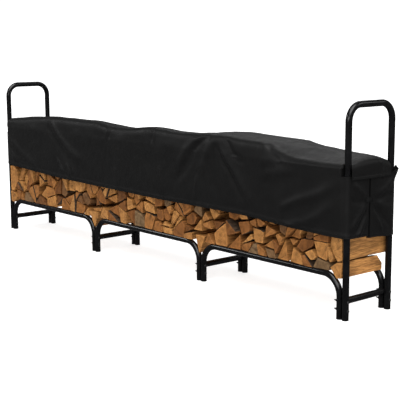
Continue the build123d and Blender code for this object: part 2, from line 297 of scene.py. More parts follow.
def webbing():
    """Ribbed tape, for the straps and the closure tabs."""
    s = Shading("webbing", (0.004, 0.004, 0.004), 0.7, 0.12)
    ribs = s.add("ShaderNodeTexWave", 1, bands_direction="DIAGONAL", Vector=s.place(), Scale=130.0)
    s.feed("Base Color", s.mix(ribs, (0.0025, 0.0025, 0.0025), (0.006, 0.006, 0.006)))
    s.feed("Normal", s.bump(ribs, 0.0004, 0.7))
    return s.material


def wood_tone(s, *stops):
    """The colour of a log, from its tone between 0 and 1: a random tone, except on the logs at the rack's
    end, which get the lightest tones as painted light.
    """
    shade = s.add("ShaderNodeAttribute", 2, attribute_name="shade")
    return s.ramp(shade, *stops)


def wood_end():
    """Sawn end grain: growth rings about the pith, drying cracks that run out from it and saw marks."""
    s = Shading("wood_end", (0.324, 0.150, 0.050), 0.75, 0.12)
    grain = s.place(attribute="grain")
    color = wood_tone(
        s,
        (0.0, (0.410, 0.194, 0.056)),
        (0.30, (0.312, 0.132, 0.035)),
        (0.58, (0.217, 0.083, 0.020)),
        (0.80, (0.123, 0.046, 0.012)),
        (1.0, (0.143, 0.098, 0.050)),
    )
    blotch = s.ramp(s.noise(grain, 34, 5, 0.65), (0.32, 0.5), (0.66, 1.2))
    color = s.mix(1.0, color, blotch, "MULTIPLY")
    growth = s.add(
        "ShaderNodeTexWave", 1, wave_type="RINGS", rings_direction="Y", wave_profile="SAW",
        Vector=grain, Scale=72.0, Distortion=1.6, Detail=3.0, Detail_Scale=1.5,
    )
    color = s.mix(s.math("MULTIPLY", growth, 0.42), color, (0.144, 0.051, 0.013))
    parts = s.nodes.new("ShaderNodeSeparateXYZ")
    s.put(parts.inputs[0], grain)
    turn = s.math("ARCTAN2", parts.outputs[0], parts.outputs[2])
    far = s.math("MULTIPLY", s.add("ShaderNodeVectorMath", 1, operation="LENGTH", in0=grain), 9.0)
    around = s.add("ShaderNodeCombineXYZ", 0, X=s.math("MULTIPLY", turn, 5.0), Y=far)
    cracks = s.add("ShaderNodeTexVoronoi", 0, feature="DISTANCE_TO_EDGE", Vector=around, Scale=1.3)
    crack = s.ramp(cracks, (0.0, 1.0), (0.035, 0.0))
    color = s.mix(s.math("MULTIPLY", crack, 0.7), color, (0.032, 0.013, 0.005))
    # Just inside its rim the end face is lighter, and at the very rim it is painted dark: painted shade
    # along the seams between logs.
    rim = s.add("ShaderNodeAttribute", 2, attribute_name="rim")
    edge = s.ramp(rim, (0.78, 1.0), (0.90, 1.3), (0.96, 1.2), (1.0, 0.35))
    s.feed("Base Color", s.mix(1.0, color, edge, "MULTIPLY"))
    saw = s.noise(s.place((6, 1, 90)), 14, 2)
    marks = s.bump(saw, 0.0012, 0.5)
    s.feed("Normal", s.bump(s.math("SUBTRACT", s.math("MULTIPLY", growth, 0.3), crack), 0.0015, 0.6, marks))
    return s.material


def wood_split():
    """Torn side grain: long fibres along the log."""
    s = Shading("wood_split", (0.324, 0.162, 0.059), 0.7, 0.12)
    fibres = s.noise(s.place((1, 0.06, 1), attribute="grain"), 240, 6, 0.65)
    streaks = s.noise(s.place((1, 0.12, 1), attribute="grain"), 50, 5, 0.6)
    color = wood_tone(
        s,
        (0.0, (0.410, 0.192, 0.056)),
        (0.5, (0.271, 0.111, 0.031)),
        (0.80, (0.148, 0.056, 0.016)),
        (1.0, (0.148, 0.102, 0.055)),
    )
    color = s.mix(1.0, color, s.ramp(streaks, (0.32, 0.30), (0.62, 1.3)), "MULTIPLY")
    color = s.mix(s.ramp(fibres, (0.45, 0.0), (0.60, 0.65)), color, (0.094, 0.033, 0.010))
    s.feed("Base Color", color)
    torn = s.bump(streaks, 0.004, 0.6)
    s.feed("Normal", s.bump(fibres, 0.0012, 0.8, torn))
    return s.material


def wood_bark():
    """Rough plates with dark cracks between them."""
    s = Shading("wood_bark", (0.08, 0.05, 0.035), 0.85, 0.2)
    where = s.place((1, 0.35, 1), attribute="grain")
    plates = s.add("ShaderNodeTexVoronoi", 0, Vector=where, Scale=55.0)
    rough = s.noise(where, 130, 6, 0.7)
    color = s.ramp(
        plates, (0.05, (0.090, 0.054, 0.032)), (0.5, (0.042, 0.023, 0.013)), (0.9, (0.012, 0.007, 0.004))
    )
    s.feed("Base Color", s.mix(s.ramp(rough, (0.4, 0.0), (0.75, 0.7)), color, (0.105, 0.078, 0.055)))
    ridges = s.bump(s.math("SUBTRACT", 1.0, plates), 0.005, 0.8)
    s.feed("Normal", s.bump(rough, 0.002, 0.8, ridges))
    return s.material


steel = grained(
    "powder_coat", (0.003, 0.003, 0.0032), 0.25, 0.36,
    tones=((14, 4), (0.35, (0.002, 0.002, 0.0022)), (0.75, (0.0045, 0.0045, 0.005))),
    gloss=((35, 5), (0.3, 0.15), (0.75, 0.27)),
    grain=((900, 2), 0.00015, 0.5),
)
zinc = grained(
    "black_zinc", (0.02, 0.02, 0.022), 0.35, 0.5,
    tones=((260, 4), (0.45, (0.014, 0.014, 0.016)), (0.8, (0.07, 0.068, 0.065))),
    gloss=((260, 4), (0.3, 0.28), (0.8, 0.5)),
    grain=((1200, 2), 0.0001, 0.5),
    Metallic=0.6,
)
plastic = grained(
    "moulded_plastic", (0.008, 0.008, 0.008), 0.5, 0.35,
    tones=((60, 4), (0.3, (0.006, 0.006, 0.006)), (0.8, (0.014, 0.0135, 0.013))),
    gloss=((180, 3), (0.3, 0.45), (0.8, 0.65)),
    grain=((1500, 2), 0.0002, 0.6),
)
slit_shade_material = grained(  # a matte black tape strip along the edge of a back flap, under the closure, made darker than the cloth as painted shade for the slit's shadow line
    "loop_tape", (0.0015, 0.0015, 0.0015), 0.95, 0.04,
    tones=((1400, 3), (0.3, 0.0010), (0.8, 0.0022)),
    grain=((1400, 3), 0.0006, 0.8),
)
thread_material = grained(
    "stitch_thread", (0.02, 0.02, 0.02), 0.55, 0.4, tones=((900, 2), (0.3, 0.010), (0.8, 0.026))
)
cloth_material, strap_material = cover_cloth(), webbing()
wood = [wood_end(), wood_split(), wood_bark()]


def dress(nodes, material):
    """Gives carried-over CAD nodes their material."""
    for name in nodes:
        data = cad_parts[name].data
        data.materials.clear()
        data.materials.append(material)


rails = [f"{row}_rail_{bay}" for row in ("front", "rear") for bay in ("left", "middle", "right")]
crossbars = [f"crossbar_{place}" for place in ("left_end", "left_inner", "right_inner", "right_end")]
dress(["left_hoop", "right_hoop", "crossbar_tabs"] + rails + crossbars, steel)
dress(["washers"], zinc)
dress(["hoop_foot_caps", "rail_foot_caps"], plastic)


# ---- the separate solids of a CAD node ----
def solids_of(node):
    """Each separate solid of a CAD node, as an array of its corner points."""
    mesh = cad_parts[node].data
    known = {}
    ids = [known.setdefault(tuple(round(c, 4) for c in v.co), len(known)) for v in mesh.vertices]
    parent = list(range(len(known)))

    def root(i):
        while parent[i] != i:
            parent[i] = parent[parent[i]]
            i = parent[i]
        return i

    for polygon in mesh.polygons:
        first = root(ids[polygon.vertices[0]])
        for v in polygon.vertices[1:]:
            parent[root(ids[v])] = first
    groups = {}
    for point, i in known.items():
        groups.setdefault(root(i), []).append(point)
    return sorted((np.array(g) for g in groups.values()), key=lambda g: tuple(g.mean(0).round(4)))


def outline_of(points):
    """The corners of a flat convex shape, anticlockwise from the one at the lowest first coordinate."""
    points = np.unique(np.round(points, 5), axis=0)
    away = points - points.mean(0)
    order = np.argsort(np.arctan2(away[:, 1], away[:, 0]))
    return points[np.roll(order, -int(np.flatnonzero(order == 0)[0]))]


# ---- firewood ----
outline_step, log_step = 0.012, 0.035  # between points round a log and along it
saw_bevel = 0.0015
end_cut_height = 0.045
upper_end_overhang = 0.042
shortfalls = (0, 0, 0.03, 0.06, 0.10, 0.15)  # how far corners stop short, as shares of the way in
wedged_reach, resting_reach = 0.045, 0.03  # how far they go past instead, on such logs
corner_radii = (0.003, 0.004, 0.006, 0.009)
bark_bulge = 0.0024
recesses = (0, 0, 0.002, 0.005, 0.010)
tilt_limit_x, tilt_limit_z = 0.14, 0.12  # slopes of a sawn end
log_gap, log_wander, log_chips, bark_chips = 0.0014, 0.0024, 0.0007, 0.0012
resting_drop = 0.0035


def rounded(outline, radius):
    """The outline with its corners rounded, as close points, and the edge that each belongs to."""
    points, edges = [], []
    count = len(outline)
    before = outline - np.roll(outline, 1, axis=0)
    lengths = np.linalg.norm(before, axis=1)
    for i in range(count):
        corner, after = outline[i], outline[(i + 1) % count]
        to_next = lengths[(i + 1) % count]
        cut_before, cut_after = min(radius, 0.4 * lengths[i]), min(radius, 0.4 * to_next)
        start = corner - before[i] / lengths[i] * cut_before
        end = corner + (after - corner) / to_next * cut_after
        for t in (0.0, 0.33, 0.67, 1.0):
            points.append((1 - t) ** 2 * start + 2 * t * (1 - t) * corner + t * t * end)
            edges.append(i - 1 if t < 0.5 else i)
        far = after - (after - corner) / to_next * min(radius, 0.4 * to_next)
        steps = max(1, round(float(np.linalg.norm(far - end)) / outline_step))
        for step in range(1, steps):
            points.append(end + (far - end) * step / steps)
            edges.append(i)
    return np.array(points), [e % count for e in edges]


def cut_down(outline, luck, resting, keeps_corners):
    """No two logs fit, so each corner falls short of its neighbours', or runs past it instead."""
    middle, cut = outline.mean(0), outline.copy()
    for i, corner in enumerate(outline):
        short = luck.choice(shortfalls)
        if keeps_corners:
            short = -wedged_reach
        elif resting:  # or the ground behind the rack would show between them
            short = -resting_reach
        if resting and corner[1] < rail_top + 0.030:
            cut[i] = (corner[0], rail_top + 0.0005)
        else:
            cut[i] = corner + (middle - corner) * short
    return cut


def bark_and_pith(outline, ring, on_bark, outward, bark_edge, middle, luck):
    """The ring with its bark side bulged, and where the pith is: across from the bark, or anywhere."""
    if bark_edge < 0:
        angle = luck.uniform(0, 2 * math.pi)
        return ring, middle + np.array((math.cos(angle), math.sin(angle))) * luck.uniform(0.03, 0.12)
    a, b = outline[bark_edge], outline[(bark_edge + 1) % len(outline)]
    width = np.linalg.norm(b - a)
    along = (b - a) / width
    inward = np.array((-along[1], along[0]))
    depth = ((outline - a) @ inward).max()
    pith = (a + b) / 2 + inward * depth * luck.uniform(0.95, 1.3)
    share = np.clip((ring - a) @ along / width, 0, 1)
    return ring + outward * (on_bark * bark_bulge * np.sin(np.pi * share))[:, None], pith


def split_log(outline, front, back, luck, resting, at_rack_end, wedged):
    """One log along +Y from its outline in X and Z: its points, faces, their kinds, grain, tone between 0
    and 1 and how near the rim each point is. A resting log lies on the rails, one at the rack's end shows a
    split side and a cut corner, and a wedged one keeps its corners."""
    lengths = np.linalg.norm(np.roll(outline, -1, axis=0) - outline, axis=1)
    bark_edge = int(lengths.argmax()) if luck.random() < 0.5 and not (at_rack_end or wedged) else -1
    middle = outline.mean(0)
    outline = cut_down(outline, luck, resting, wedged or abs(middle[0]) > hoop_x - 0.20)
    ring, edges = rounded(outline, luck.choice(corner_radii))
    on_bark = np.array(edges) == bark_edge
    tangent = np.roll(ring, -1, axis=0) - np.roll(ring, 1, axis=0)
    outward = np.stack([tangent[:, 1], -tangent[:, 0]], 1) / np.linalg.norm(tangent, axis=1)[:, None]
    ring, pith = bark_and_pith(outline, ring, on_bark, outward, bark_edge, middle, luck)
    tilt = np.array((luck.uniform(-tilt_limit_x, tilt_limit_x), luck.uniform(-tilt_limit_z, tilt_limit_z)))
    recess = 0 if wedged else luck.choice(recesses) * (0.4 if resting else 1.0)
    if at_rack_end and outline[:, 1].min() > rail_top:
        back = back + upper_end_overhang
    spread = np.abs(tilt).sum() * float(np.abs(outline - middle).max())
    seed = luck.uniform(0, 90)
    length = back - front
    rows = max(4, round(length / log_step))
    ys = [0, saw_bevel] + [length * k / rows for k in range(1, rows)] + [length - saw_bevel, length]
    lean = (ring - middle) @ tilt
    start, finish = front + spread + recess + lean, back - spread * 0.5 + lean * 0.5
    if at_rack_end and outline[:, 1].min() < rail_top:
        finish = finish - 0.9 * np.maximum(0, ring[:, 1] - outline[:, 1].min() - end_cut_height)
    count, points = len(ring), []
    for y in ys:
        depth = start * (1 - y / length) + finish * y / length
        wander = np.array([noise.noise(Vector((x * 16 + seed, y * 5, z * 16))) for x, z in ring])
        chips = np.array([noise.noise(Vector((x * 70, y * 22 + seed, z * 70))) for x, z in ring])
        inset = log_gap + log_wander * wander + log_chips * chips + on_bark * bark_chips * (1 + chips)
        inset = inset + (saw_bevel * 0.8 if y in (0, length) else 0)
        drift = np.array((math.sin(seed + y * 5), math.cos(seed * 2 + y * 4))) * 0.0008
        flat = ring - outward * inset[:, None] + drift - np.array((0, resting_drop if resting else 0))
        points += [(p[0], d, p[1]) for p, d in zip(flat, depth)]
    faces = rings(len(ys), count)
    kinds = [2 if on_bark[i] and on_bark[(i + 1) % count] else 1 for i in range(count) for _ in ys[1:]]
    rim_share = [1.0] * len(points)
    for row, flip in ((0, True), (len(ys) - 1, False)):
        rim = list(range(row * count, (row + 1) * count))
        centre = np.mean([points[i] for i in rim], axis=0)
        points.append((centre[0], centre[1] + luck.uniform(-0.0004, 0.0004), centre[2]))
        rim_share.append(0.0)
        for i in range(count):
            face = (rim[i], rim[(i + 1) % count], len(points) - 1)
            faces.append(face[::-1] if flip else face)
            kinds.append(0)
    points = np.array(points)
    grain = points - np.array((pith[0], seed, pith[1]))
    # Logs at the rack's end and wedged logs get only the lightest tones; on the end logs this is painted
    # light, for the light that falls on the rack's end.
    shade = luck.random() ** 1.3 * (0.2 if at_rack_end or wedged else 1)
    return points, faces, kinds, grain, shade, rim_share


def firewood(node, name, seed):
    """Every log of one CAD node, as one piece."""
    luck = Random(seed)
    points, faces, kinds, grains, log_tones_and_painted_light, rims = [], [], [], [], [], []
    for corners in solids_of(node):
        lies_along_y = len(set(corners[:, 1].round(4))) == 2
        flat = outline_of(corners[:, [0, 2]] if lies_along_y else corners[:, [1, 2]])
        along = corners[:, 1 if lies_along_y else 0]
        if not lies_along_y:
            flat = flat * (-1, 1)
            flat = flat[::-1]
        resting = rail_top - 0.004 < flat[:, 1].min() < rail_top + 0.012
        made, made_faces, made_kinds, grain, shade, rim = split_log(
            flat, along.min(), along.max(), luck, resting, node == "end_logs", node == "valley_logs"
        )
        if not lies_along_y:  # the log was made along +Y, and is turned to lie along +X
            made = np.stack([made[:, 1], -made[:, 0], made[:, 2]], 1)
        add_shape(points, faces, made, made_faces)
        rims += rim
        kinds += made_kinds
        grains.extend(grain)
        log_tones_and_painted_light += [shade] * len(made)
    logs = new_object(name, points, faces, wood, smooth_angle=38)
    logs.data.polygons.foreach_set("material_index", kinds)
    grain = logs.data.attributes.new("grain", "FLOAT_VECTOR", "POINT")
    grain.data.foreach_set("vector", np.array(grains, np.float32).ravel())
    for attribute, values in (("shade", log_tones_and_painted_light), ("rim", rims)):
        layer = logs.data.attributes.new(attribute, "FLOAT", "POINT")
        layer.data.foreach_set("value", np.array(values, np.float32))
    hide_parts(node)
    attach(logs, "rack")
    return logs


log_nodes = [n for n in sorted(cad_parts) if n.startswith("logs_")]
log_nodes += ["valley_logs", "end_logs", "top_logs"]
for seed, node in enumerate(log_nodes):
    firewood(node, f"firewood_{node.replace('logs_', '').replace('_logs', '')}", seed + 11)


# ---- bolts, nuts and weld beads ----
thread_pitch, thread_depth, thread_length = 0.00125, 0.0006, 0.026
bolt_radius, head_height, head_rim, nut_bevel = 0.004, 0.0045, 0.0003, 0.0007
bolt_sides, nut_sides, bead_sides = 20, 24, 8
bead_radius, bead_ripples = 0.0024, 9


def bolt_shape(length, head_radius):
    """A carriage bolt: a low dome, a shank and a helical thread. The head's seat is at z = 0."""
    shank = thread_length - length
    rows = [(0.0001, head_height)]
    rows += [
        (head_radius * math.cos(t), (head_height - head_rim) * math.sin(t) + head_rim)
        for t in np.linspace(math.pi / 2 - 0.01, 0.12, 7)
    ]
    rows += [(head_radius, 0.0005), (head_radius - head_rim, 0), (bolt_radius, 0), (bolt_radius, shank)]
    count = int(thread_length / thread_pitch * 4)
    for row in range(count + 1):
        height = shank - thread_length * row / count
        core = bolt_radius - max(0.0, 1 - (count - row) / 4) * 0.001  # the end is tapered

        def thread(angle, height=height, core=core):
            phase = (angle / (2 * math.pi) - height / thread_pitch) % 1
            return core - thread_depth * abs(2 * phase - 1)

        rows.append((thread, height))
    points, faces = turned(rows, bolt_sides)
    return points, faces + caps(len(rows), bolt_sides)[1:]


def nut_shape(height, across_corners, bore):
    """A hexagon nut, bevelled where its corners meet both faces."""
    flat = across_corners / 2 * math.cos(math.pi / 6)

    def hexagon(angle):
        return flat / math.cos((angle + math.pi / 6) % (math.pi / 3) - math.pi / 6)

    rows = [(bore, 0.0), (flat * 0.97, 0.0), (hexagon, nut_bevel)]
    rows += [(hexagon, height - nut_bevel), (flat * 0.97, height), (bore, height), (bore, 0.0)]
    return turned(rows, nut_sides)


def copies(name, shape, places, material, sharp):
    """One piece made of a shape at several places, each a point and the direction of its +Z."""
    points, faces = [], []
    for origin, direction in places:
        turn = Vector(direction).to_track_quat("Z", "Y").to_matrix()
        add_shape(points, faces, [tuple(turn @ Vector(p) + Vector(origin)) for p in shape[0]], shape[1])
    return mended(new_object(name, points, faces, [material], smooth_angle=sharp), merge=1e-6)


def fasteners():
    bolts, nuts = [], []
    bolt_solids, nut_solids = solids_of("carriage_bolts"), solids_of("nuts")
    for corners in bolt_solids:
        y, z = (corners.min(0) + corners.max(0))[1:] / 2
        radii = np.hypot(corners[:, 1] - y, corners[:, 2] - z)
        side = 1 if corners[radii > 0.8 * radii.max(), 0].mean() > corners[:, 0].mean() else -1
        seat_x = min(corners[radii > 0.95 * radii.max(), 0] * side) * side
        bolts.append(((seat_x, y, z), (side, 0, 0)))
    for corners in nut_solids:
        y, z = (corners.min(0) + corners.max(0))[1:] / 2
        nuts.append(((corners[:, 0].min(), y, z), (1, 0, 0)))
    bolt = bolt_shape(np.ptp(bolt_solids[0][:, 0]) - head_height, np.ptp(bolt_solids[-1][:, 1]) / 2)
    bolt_piece = copies("carriage_bolt_set", bolt, bolts, zinc, 40)
    nut = nut_shape(np.ptp(nut_solids[0][:, 0]), np.ptp(nut_solids[0][:, 2]), bolt_radius + 0.0001)
    nut_piece = copies("hex_nut_set", nut, nuts, zinc, 25)
    for piece, node in ((bolt_piece, "carriage_bolts"), (nut_piece, "nuts")):
        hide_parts(node)
        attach(piece, "rack")


def weld_beads():
    """A rippled bead down each side of every tab, where it leaves the crossbar's end."""
    points, faces = [], []
    for bar in crossbars:
        low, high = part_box(bar)
        rows = []
        for t in np.linspace(0, 1, bead_ripples * 6 + 1):
            swell = 0.85 + 0.15 * abs(math.sin(math.pi * bead_ripples * t))
            taper = min(1.0, 8 * t + 0.25, 8 * (1 - t) + 0.25)
            rows.append((bead_radius * swell * taper, low.z + 0.002 + (high.z - low.z - 0.004) * t))
        bead, bead_faces = turned(rows, bead_sides)
        bead_faces += caps(len(rows), bead_sides)
        for end_y in (low.y, high.y):
            for face in (-1, 1):
                x = (low.x + high.x) / 2 + face * (0.0015 + 0.4 * bead_radius)
                shift = np.array((x, end_y - math.copysign(0.0008, end_y), 0))
                add_shape(points, faces, np.array(bead) + shift, bead_faces)
    beads = new_object("weld_beads", points, faces, [steel], smooth_angle=60)
    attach(beads, "rack")


fasteners()
weld_beads()

# ---- the cover's cloth ----
fabric = 0.0016  # thickness
column_step, end_column_step = 0.010, 0.0065
wrap_radius = tube_radius + 0.0045  # of the cloth round each leg
edge_band = 0.012  # bound edges and seams stand a little proud
hem_band = 0.024
band_height = 0.0010
shoulder_y, crown_y = 0.168, 0.055
turn_y, eaves_y = 0.198, 0.2085  # where the top rounds over into the front
eaves_z = 0.862  # below this the cloth hangs straight
sides_top = eaves_z - 0.020
leg_gap_x = hoop_x - tube_radius - 0.002  # where the top panel and the legs meet
tongue_half = leg_y - tube_radius - 0.0008  # the top's end passes close between the legs
back_drop, flap_dip = 0.012, 0.010  # the back hangs a little lower, and its flaps lower still
rows_over, rows_gap, rows_low = 34, 6, 30  # on the top, between it and the flaps, and below
front_lap, back_lap = 0.0022, -0.0010  # at the slit the front flap lies over the back one
slit_opening = 0.0028  # how far each flap draws back from the slit, above and below its closure
tuck_in, tuck_across = 0.006, 0.012  # of a back flap's edge, under the front flap
wave_height, crumple_height, settle_height = 0.0035, 0.0012, 0.0040
hem_standoff = 0.006
corner_out, corner_up = 0.024, 0.032  # how far the flap's corner stands away behind the rear leg
notch_spread = 0.012
nearest_logs = 0.0035  # how far inside its plan the hanging cloth may come, towards the logs
tongue_bow, tongue_wave, tongue_crease = 0.004, 0.0045, 0.004
tongue_give = 0.012  # how much narrower the tongue is towards the rear leg

# All the tables are in millimetres. Heights of the cloth along the rack: x, over the middle, at the
# front and the back shoulder.
stations = np.array((
    (-1800, 911, 910, 905), (-1660, 917, 921, 904), (-1410, 934, 940, 904), (-1150, 930, 960, 900),
    (-840, 934, 957, 898), (-540, 908, 958, 890), (-390, 905, 931, 886), (-140, 932, 934, 894),
    (80, 922, 958, 890), (210, 915, 952, 888), (420, 922, 942, 896), (620, 945, 950, 926),
    (775, 957, 955, 934), (950, 953, 946, 930), (1176, 944, 941, 926), (1281, 932, 903, 908),
    (1410, 920, 876, 886), (1600, 904, 869, 872), (1750, 897, 869, 862), (1800, 888, 869, 856),
)) / 1000
front_hem = np.array((
    (-1840, 541), (-1370, 520), (-1020, 504), (-240, 494), (170, 488), (890, 490), (1100, 487),
    (1400, 470), (1840, 457),
)) / 1000

# Folds that show on the front: how far the cloth stands out along each, how wide it is, and its
# route in x and height up the cloth. Past the eaves, height runs on over the shoulder.
front_folds = (
    (-5, 22, (760, 958), (640, 911), (580, 863), (520, 770), (420, 660), (340, 580)),
    (5, 30, (720, 955), (570, 900), (490, 840), (440, 770), (360, 680)),
    (4.5, 35, (790, 955), (700, 860), (660, 760), (620, 650)),
    (-5, 18, (820, 952), (890, 903), (925, 851), (980, 822), (1060, 800)),
    (-4.5, 20, (770, 900), (830, 812), (900, 741), (980, 641), (1060, 541)),
    (4.5, 30, (800, 900), (880, 800), (960, 720), (1040, 620), (1130, 520)),
    (-4.5, 20, (1200, 946), (1263, 879), (1310, 845), (1360, 800)),
    (3.5, 30, (1170, 945), (1190, 860), (1220, 780)),
    (5, 26, (1300, 560), (1480, 636), (1640, 687), (1750, 748), (1820, 800)),
    (4.5, 26, (1340, 470), (1530, 515), (1645, 570), (1750, 650), (1820, 710)),
    (2.5, 30, (1450, 800), (1250, 760), (1100, 740)),
    (-4, 10, (137, 955), (135, 900), (133, 845)),
    (3, 10, (155, 955), (150, 900), (146, 845)),
    (-4, 10, (-362, 935), (-366, 870), (-370, 830)),
    (3, 12, (-385, 935), (-388, 870), (-390, 830)),
    (5, 34, (-1170, 945), (-1100, 900), (-1013, 819), (-856, 716), (-716, 666), (-600, 635)),
    (-3, 30, (-1200, 900), (-1080, 800), (-930, 690), (-780, 620)),
    (4, 14, (-1050, 660), (-990, 590), (-930, 530)),
    (3.5, 13, (-920, 630), (-880, 570), (-850, 510)),
    (3, 13, (-830, 600), (-800, 550), (-780, 500)),
    (2.8, 30, (-1800, 780), (-1728, 732), (-1550, 640), (-1370, 571), (-1250, 540)),
    (3, 16, (-1820, 700), (-1720, 630), (-1620, 560)),
    (3, 14, (600, 700), (585, 600), (575, 500)),
    (2.2, 20, (200, 720), (230, 600), (250, 500)),
    (2.2, 20, (-300, 660), (-270, 580), (-250, 500)),
)
back_folds = (
    (-4.5, 22, (740, 958), (660, 880), (600, 780), (500, 660)),
    (5, 26, (780, 958), (840, 870), (930, 760), (1050, 620), (1120, 500)),
    (4, 24, (1170, 950), (1200, 850), (1260, 720)),
    (4.5, 26, (1820, 790), (1640, 690), (1400, 600)),
    (4, 24, (1820, 700), (1660, 580), (1480, 480)),
    (4.5, 24, (-1820, 780), (-1600, 660), (-1380, 580)),
    (5, 22, (-1160, 930), (-1060, 800), (-900, 680), (-800, 600)),
    (4.5, 24, (-120, 930), (-200, 800), (-330, 660), (-420, 540)),
    (-3.5, 22, (-100, 930), (-20, 820), (80, 700), (150, 580)),
    (3, 14, (-700, 620), (-680, 550), (-660, 490)),
    (3, 16, (300, 640), (310, 560), (320, 480)),
)
# The same on the end flaps, in y and height, round the closure.
flap_folds = (
    (5.5, 16, (-185, 500), (-130, 560), (-85, 610), (-42, 645)),
    (-4.5, 14, (-150, 465), (-105, 530), (-70, 580), (-46, 625)),
    (4.5, 14, (-120, 460), (-80, 520), (-55, 560), (-42, 600)),
    (5, 16, (-170, 765), (-120, 720), (-75, 690), (-44, 668)),
    (-4, 16, (-185, 670), (-130, 655), (-80, 655), (-46, 657)),
    (5.5, 16, (185, 775), (120, 720), (50, 685), (-15, 668)),
    (-5.5, 15, (190, 670), (130, 672), (60, 667), (-10, 660)),
    (5.5, 17, (185, 590), (120, 600), (50, 625), (-12, 650)),
    (-5, 15, (165, 490), (110, 530), (50, 580), (-14, 635)),
    (4.5, 14, (90, 460), (50, 520), (10, 580), (-18, 625)),
)


def line_of(pairs, x, reach):
    """A line through (x, value) pairs, softened over that reach, read at the given x."""
    fine = np.arange(-1.95, 1.95, 0.005)
    values = blurred(np.interp(fine, pairs[:, 0], pairs[:, 1]), 0.005, reach)
    return np.interp(x, fine, values)


def section(x, side, rows_over, edge_y):
    """The top panel cut across at each x, from the middle out to one eaves: arrays of y and z."""
    crown = line_of(stations[:, [0, 1]], x, 0.030)
    shoulder = line_of(stations[:, [0, 2 if side < 0 else 3]], x, 0.024)
    seam = np.array((0, 0.4, 1.0)) * edge_band  # rows beside the seam along the middle
    ys, zs = [], []
    for c, s, edge in zip(crown, shoulder, edge_y):
        knots = [(0, c + 0.001), (0.4 * crown_y, c + 0.001), (crown_y, c)]
        knots += [(0.5 * (crown_y + shoulder_y), 0.5 * (c + s) + 0.002), (shoulder_y, s)]
        knots += [(turn_y, s - 0.008), (eaves_y, max(sides_top + 0.008, s - 0.035)), (edge, sides_top)]
        fine = np.linspace(0, along_path(knots)[-1], 120)
        y, z = soft_curve(knots, fine, 0.011)
        y[0], y[-1], z[-1] = 0, edge, sides_top
        over = np.concatenate([seam, np.linspace(edge_band * 1.35, fine[-1], rows_over - 3)])
        ys.append(np.interp(over, fine, y))
        zs.append(np.interp(over, fine, z))
    return np.array(ys), np.array(zs)


def section_by_legs(end, side):
    """The same where the top panel meets one pair of legs: its y and z."""
    y, z = section(np.array([end * leg_gap_x]), side, 60, [skirt_y])
    return y[0], z[0]


def folded(x, height, folds):
    """How far folds lift the cloth at each point."""
    lift = np.zeros_like(x)
    for out, width, *route in folds:
        route = np.array(route) / 1000
        ends = along_path(route)
        nearest = np.full(x.shape, 9.0)
        share = np.zeros_like(x)
        for a, b, start, length in zip(route, route[1:], ends, np.diff(ends)):
            step = b - a
            t = np.clip(((x - a[0]) * step[0] + (height - a[1]) * step[1]) / length**2, 0, 1)
            away = np.hypot(x - a[0] - t * step[0], height - a[1] - t * step[1])
            closer = away < nearest
            nearest = np.where(closer, away, nearest)
            share = np.where(closer, (start + t * length) / ends[-1], share)
        fade = np.minimum(smooth_step(0, 0.18, share), smooth_step(0, 0.35, 1 - share))
        reach = width / 1000 * (0.7 + 0.6 * share)
        lift += 1.7 * out / 1000 * fade * np.exp(-((nearest / reach) ** 2))
    return lift


def plan_of(side):
    """The plan of one hanging half, from the middle of the rack round the leg to the slit at +X:
    its x and y, how far along it each point is, and where the leg's notch and the corner are."""
    slit = slit_front if side < 0 else slit_back
    plane_y = skirt_y - 0.001
    around = np.radians(np.linspace(100, 6, 9))
    knots = [(0, plane_y), (hoop_x - 0.11, plane_y), (leg_gap_x - 0.003, plane_y - 0.004)]
    knots += [(hoop_x + wrap_radius * math.cos(t), leg_y + wrap_radius * math.sin(t)) for t in around]
    knots += [(wrap_x - 0.001, leg_y - 0.055), (wrap_x, side * slit)]
    chord = along_path(knots)
    x, y = soft_curve(knots, np.arange(0, chord[-1] + 0.0005, 0.001), 0.008)
    run = along_path(np.stack([x, y], 1))
    gap_at, corner_at = np.interp(leg_gap_x, x, run), chord[7]
    edge_at = gap_at - edge_band
    columns = np.concatenate([
        np.linspace(0, edge_at, round(edge_at / column_step)),
        gap_at - edge_band * np.array((0.85, 0.4, 0.0)),
        np.linspace(gap_at + 0.005, run[-1], round((run[-1] - gap_at) / end_column_step)),
    ])
    return np.interp(columns, run, x), np.interp(columns, run, y), columns, gap_at, corner_at


